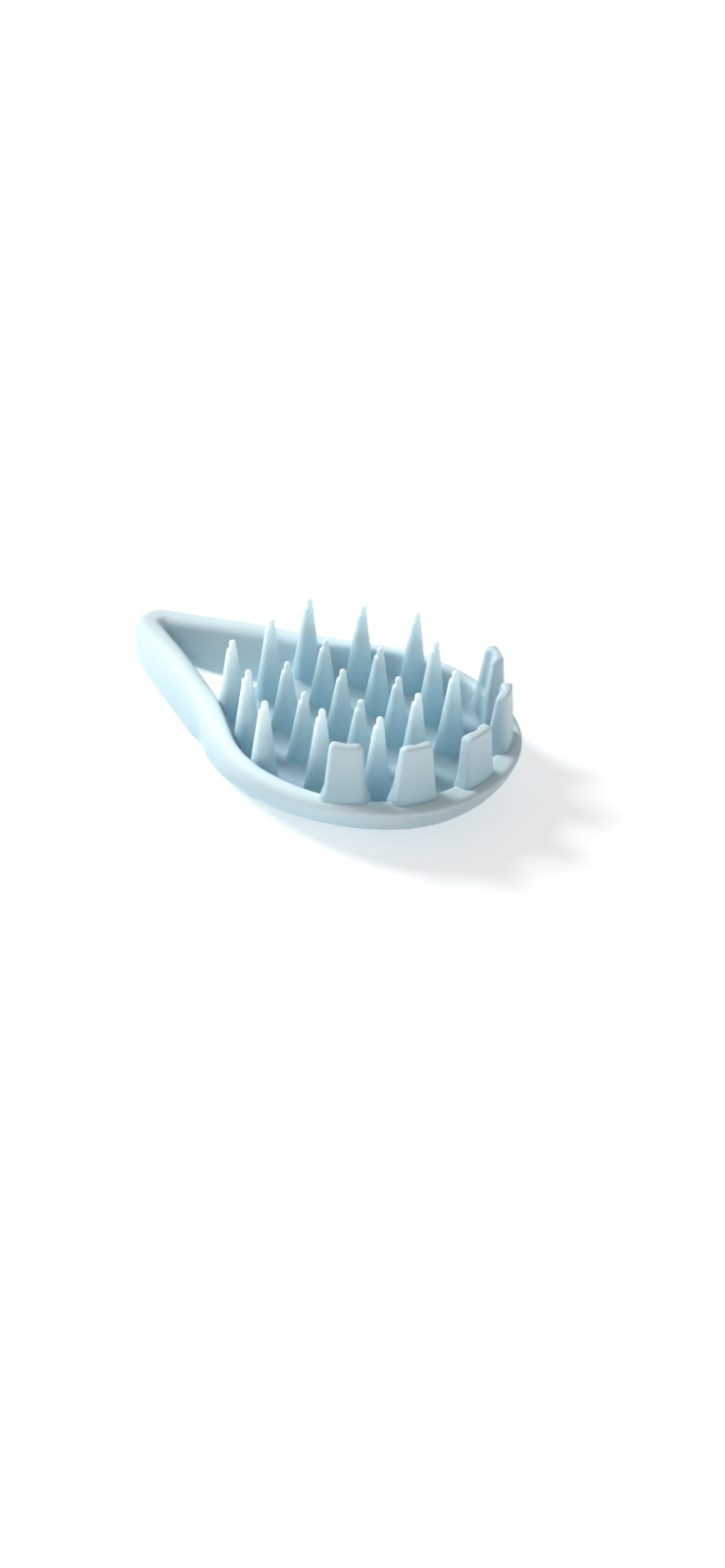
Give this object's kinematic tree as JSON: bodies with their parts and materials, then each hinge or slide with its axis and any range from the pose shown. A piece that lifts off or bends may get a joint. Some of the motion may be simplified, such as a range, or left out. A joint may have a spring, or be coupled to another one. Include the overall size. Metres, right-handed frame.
{
  "type": "scalp massager brush",
  "caption": "Hand-held soft silicone scalp brush: a bowl-shaped head with a rim and finger loop, a field of flexible cone bristles and flexible paddles along the front rim.",
  "frame": {"origin": "on the flat back, under the middle bristle of the hexagonal field", "axes": "+Z out of the bristle side, -X along the finger loop, brush symmetric about the XZ plane"},
  "size_m": [0.1195, 0.072, 0.0291],
  "materials": {
    "body_silicone": "matte pastel blue silicone",
    "bristle_silicone": "matte pastel blue silicone, slightly translucent when thin",
    "paddle_silicone": "matte pastel blue silicone"
  },
  "bodies": {
    "brush_body": {"bowl": "body_silicone", "finger_loop": "body_silicone", "bristle_pad": "body_silicone"},
    "bristle_1_body": {"bristle_1": "bristle_silicone"},
    "bristle_2_body": {"bristle_2": "bristle_silicone"},
    "bristle_3_body": {"bristle_3": "bristle_silicone"},
    "bristle_4_body": {"bristle_4": "bristle_silicone"},
    "bristle_5_body": {"bristle_5": "bristle_silicone"},
    "bristle_6_body": {"bristle_6": "bristle_silicone"},
    "bristle_7_body": {"bristle_7": "bristle_silicone"},
    "bristle_8_body": {"bristle_8": "bristle_silicone"},
    "bristle_9_body": {"bristle_9": "bristle_silicone"},
    "bristle_10_body": {"bristle_10": "bristle_silicone"},
    "bristle_11_body": {"bristle_11": "bristle_silicone"},
    "bristle_12_body": {"bristle_12": "bristle_silicone"},
    "bristle_13_body": {"bristle_13": "bristle_silicone"},
    "bristle_14_body": {"bristle_14": "bristle_silicone"},
    "bristle_15_body": {"bristle_15": "bristle_silicone"},
    "bristle_16_body": {"bristle_16": "bristle_silicone"},
    "bristle_17_body": {"bristle_17": "bristle_silicone"},
    "bristle_18_body": {"bristle_18": "bristle_silicone"},
    "bristle_19_body": {"bristle_19": "bristle_silicone"},
    "paddle_1_body": {"paddle_1": "paddle_silicone"},
    "paddle_2_body": {"paddle_2": "paddle_silicone"},
    "paddle_3_body": {"paddle_3": "paddle_silicone"},
    "paddle_4_body": {"paddle_4": "paddle_silicone"},
    "paddle_5_body": {"paddle_5": "paddle_silicone"}
  },
  "joints": [
    {"name": "bristle_1_bend", "type": "hinge", "parent": "brush_body", "child": "bristle_1_body", "pos_m": [-0.02425, -0.014, 0.0045], "axis": [0, 1, 0], "range_deg": [-20, 20], "stiffness_Nm_per_rad": 0.01},
    {"name": "bristle_2_bend", "type": "hinge", "parent": "brush_body", "child": "bristle_2_body", "pos_m": [-0.02425, 0, 0.0045], "axis": [0, 1, 0], "range_deg": [-20, 20], "stiffness_Nm_per_rad": 0.01},
    {"name": "bristle_3_bend", "type": "hinge", "parent": "brush_body", "child": "bristle_3_body", "pos_m": [-0.02425, 0.014, 0.0045], "axis": [0, 1, 0], "range_deg": [-20, 20], "stiffness_Nm_per_rad": 0.01},
    {"name": "bristle_4_bend", "type": "hinge", "parent": "brush_body", "child": "bristle_4_body", "pos_m": [-0.01212, -0.021, 0.0045], "axis": [0, 1, 0], "range_deg": [-20, 20], "stiffness_Nm_per_rad": 0.01},
    {"name": "bristle_5_bend", "type": "hinge", "parent": "brush_body", "child": "bristle_5_body", "pos_m": [-0.01212, -0.007, 0.0045], "axis": [0, 1, 0], "range_deg": [-20, 20], "stiffness_Nm_per_rad": 0.01},
    {"name": "bristle_6_bend", "type": "hinge", "parent": "brush_body", "child": "bristle_6_body", "pos_m": [-0.01212, 0.007, 0.0045], "axis": [0, 1, 0], "range_deg": [-20, 20], "stiffness_Nm_per_rad": 0.01},
    {"name": "bristle_7_bend", "type": "hinge", "parent": "brush_body", "child": "bristle_7_body", "pos_m": [-0.01212, 0.021, 0.0045], "axis": [0, 1, 0], "range_deg": [-20, 20], "stiffness_Nm_per_rad": 0.01},
    {"name": "bristle_8_bend", "type": "hinge", "parent": "brush_body", "child": "bristle_8_body", "pos_m": [0, -0.028, 0.0045], "axis": [0, 1, 0], "range_deg": [-20, 20], "stiffness_Nm_per_rad": 0.01},
    {"name": "bristle_9_bend", "type": "hinge", "parent": "brush_body", "child": "bristle_9_body", "pos_m": [0, -0.014, 0.0045], "axis": [0, 1, 0], "range_deg": [-20, 20], "stiffness_Nm_per_rad": 0.01},
    {"name": "bristle_10_bend", "type": "hinge", "parent": "brush_body", "child": "bristle_10_body", "pos_m": [0, 0, 0.0045], "axis": [0, 1, 0], "range_deg": [-20, 20], "stiffness_Nm_per_rad": 0.01},
    {"name": "bristle_11_bend", "type": "hinge", "parent": "brush_body", "child": "bristle_11_body", "pos_m": [0, 0.014, 0.0045], "axis": [0, 1, 0], "range_deg": [-20, 20], "stiffness_Nm_per_rad": 0.01},
    {"name": "bristle_12_bend", "type": "hinge", "parent": "brush_body", "child": "bristle_12_body", "pos_m": [0, 0.028, 0.0045], "axis": [0, 1, 0], "range_deg": [-20, 20], "stiffness_Nm_per_rad": 0.01},
    {"name": "bristle_13_bend", "type": "hinge", "parent": "brush_body", "child": "bristle_13_body", "pos_m": [0.01212, -0.021, 0.0045], "axis": [0, 1, 0], "range_deg": [-20, 20], "stiffness_Nm_per_rad": 0.01},
    {"name": "bristle_14_bend", "type": "hinge", "parent": "brush_body", "child": "bristle_14_body", "pos_m": [0.01212, -0.007, 0.0045], "axis": [0, 1, 0], "range_deg": [-20, 20], "stiffness_Nm_per_rad": 0.01},
    {"name": "bristle_15_bend", "type": "hinge", "parent": "brush_body", "child": "bristle_15_body", "pos_m": [0.01212, 0.007, 0.0045], "axis": [0, 1, 0], "range_deg": [-20, 20], "stiffness_Nm_per_rad": 0.01},
    {"name": "bristle_16_bend", "type": "hinge", "parent": "brush_body", "child": "bristle_16_body", "pos_m": [0.01212, 0.021, 0.0045], "axis": [0, 1, 0], "range_deg": [-20, 20], "stiffness_Nm_per_rad": 0.01},
    {"name": "bristle_17_bend", "type": "hinge", "parent": "brush_body", "child": "bristle_17_body", "pos_m": [0.02425, -0.014, 0.0045], "axis": [0, 1, 0], "range_deg": [-20, 20], "stiffness_Nm_per_rad": 0.01},
    {"name": "bristle_18_bend", "type": "hinge", "parent": "brush_body", "child": "bristle_18_body", "pos_m": [0.02425, 0, 0.0045], "axis": [0, 1, 0], "range_deg": [-20, 20], "stiffness_Nm_per_rad": 0.01},
    {"name": "bristle_19_bend", "type": "hinge", "parent": "brush_body", "child": "bristle_19_body", "pos_m": [0.02425, 0.014, 0.0045], "axis": [0, 1, 0], "range_deg": [-20, 20], "stiffness_Nm_per_rad": 0.01},
    {"name": "paddle_1_bend", "type": "hinge", "parent": "brush_body", "child": "paddle_1_body", "pos_m": [0.02575, -0.0278, 0.0135], "axis": [0.829, 0.5592, 0], "range_deg": [-15, 15], "stiffness_Nm_per_rad": 0.012},
    {"name": "paddle_2_bend", "type": "hinge", "parent": "brush_body", "child": "paddle_2_body", "pos_m": [0.03798, -0.01647, 0.0135], "axis": [0.4695, 0.8829, 0], "range_deg": [-15, 15], "stiffness_Nm_per_rad": 0.012},
    {"name": "paddle_3_bend", "type": "hinge", "parent": "brush_body", "child": "paddle_3_body", "pos_m": [0.0431, 0, 0.0135], "axis": [0, 1, 0], "range_deg": [-15, 15], "stiffness_Nm_per_rad": 0.012},
    {"name": "paddle_4_bend", "type": "hinge", "parent": "brush_body", "child": "paddle_4_body", "pos_m": [0.03798, 0.01647, 0.0135], "axis": [-0.4695, 0.8829, 0], "range_deg": [-15, 15], "stiffness_Nm_per_rad": 0.012},
    {"name": "paddle_5_bend", "type": "hinge", "parent": "brush_body", "child": "paddle_5_body", "pos_m": [0.02575, 0.0278, 0.0135], "axis": [-0.829, 0.5592, 0], "range_deg": [-15, 15], "stiffness_Nm_per_rad": 0.012}
  ]
}
